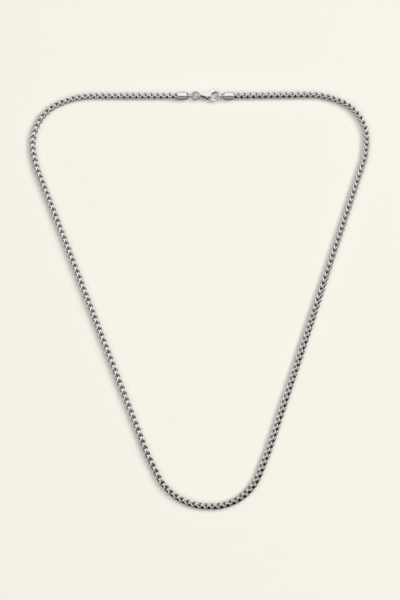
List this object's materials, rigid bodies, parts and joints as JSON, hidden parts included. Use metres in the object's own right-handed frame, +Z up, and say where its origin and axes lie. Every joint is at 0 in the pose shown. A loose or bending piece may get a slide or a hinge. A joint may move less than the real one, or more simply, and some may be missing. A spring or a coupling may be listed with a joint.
{
  "type": "franco chain necklace",
  "caption": "Square franco chain necklace in polished white metal, with tubular end caps, a jump ring and a lobster clasp with a sprung lever.",
  "frame": {"origin": "on the surface that the necklace lies on, under the middle of its box", "axes": "+X along the clasp from the jump ring to the hook, +Y from the hanging bend of the chain to the clasp, +Z up from the surface"},
  "size_m": [0.1562, 0.193, 0.0036],
  "materials": {
    "chain_silver": "polished silver links with darker gaps",
    "fitting_silver": "polished silver",
    "clasp_silver": "polished cast silver"
  },
  "bodies": {
    "necklace": {"chain": "chain_silver", "end_cap_left": "fitting_silver", "end_cap_right": "fitting_silver", "jump_ring": "fitting_silver", "clasp_body": "clasp_silver", "clasp_pin": "clasp_silver"},
    "lever": {"clasp_lever": "clasp_silver"}
  },
  "joints": [
    {"name": "lever_hinge", "type": "hinge", "parent": "necklace", "child": "lever", "pos_m": [0.00332, 0.09306, 0.0018], "axis": [0, 0, 1], "range_deg": [0, 20], "stiffness_Nm_per_rad": 0.005, "springref_deg": -17.19}
  ]
}
